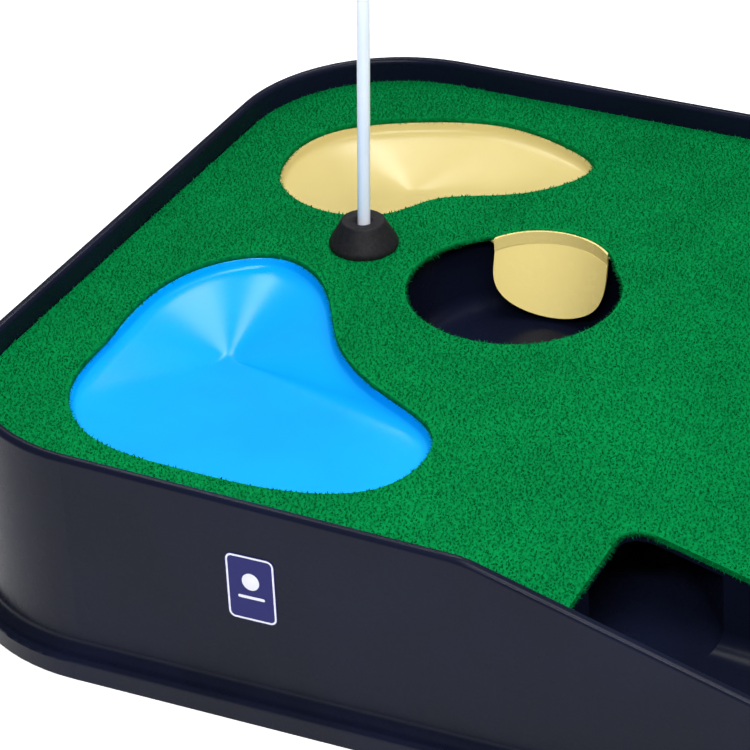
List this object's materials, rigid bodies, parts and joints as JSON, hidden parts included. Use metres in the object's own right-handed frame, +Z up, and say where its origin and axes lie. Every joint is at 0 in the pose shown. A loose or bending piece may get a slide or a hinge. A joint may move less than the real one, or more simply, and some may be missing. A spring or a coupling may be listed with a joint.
{
  "type": "practice putting mat",
  "caption": "Raised putting tray with turf deck, hole, water and sand hazards, flagstick, ball-return channel and a roll-out turf runner.",
  "frame": {"origin": "on the floor, under the middle of the whole mat's length and width", "axes": "+X from the raised back of the tray towards the player's end, +Y across the tray towards its far side, +Z up"},
  "size_m": [1.83, 0.452, 0.4347],
  "materials": {
    "black_plastic": "satin moulded polypropylene",
    "turf": "short tufted pile",
    "blue_plastic": "gloss vacuum-formed sheet",
    "sand_plastic": "gloss vacuum-formed sheet",
    "rubber": "moulded rubber",
    "white_plastic": "painted fibreglass rod",
    "steel": "zinc plated",
    "flag_fabric": "woven nylon",
    "foam_backing": "latex foam",
    "black_tape": "hook-and-loop tape",
    "label_film": "vinyl label"
  },
  "bodies": {
    "tray": {"outer_shell": "black_plastic", "deck_panel": "black_plastic", "return_channel": "black_plastic", "water_hazard_insert": "blue_plastic", "sand_trap_insert": "sand_plastic", "ball_deflector": "sand_plastic", "deflector_rivets": "steel", "deck_turf": "turf", "flag_base": "rubber", "base_washer": "steel", "shelf_screws": "steel", "channel_screws": "steel", "hook_tape": "black_tape", "side_label": "label_film"},
    "flagstick": {"flagstick": "white_plastic", "stick_cap": "white_plastic", "flag_collar": "white_plastic"},
    "flag": {"flag_cloth": "flag_fabric"},
    "runner": {"runner_turf": "turf", "runner_backing": "foam_backing", "loop_tape": "black_tape"}
  },
  "joints": [
    {"name": "flagstick_lift", "type": "slide", "parent": "tray", "child": "flagstick", "axis": [0.0728, 0, 0.9973], "range_m": [0, 0.06]},
    {"name": "flag_swivel", "type": "hinge", "parent": "flagstick", "child": "flag", "pos_m": [-0.76596, 0.0285, 0.3427], "axis": [0.0728, 0, 0.9973], "continuous": true},
    {"name": "runner_lift", "type": "slide", "parent": "tray", "child": "runner", "axis": [0, 0, 1], "range_m": [0, 0.05]}
  ]
}
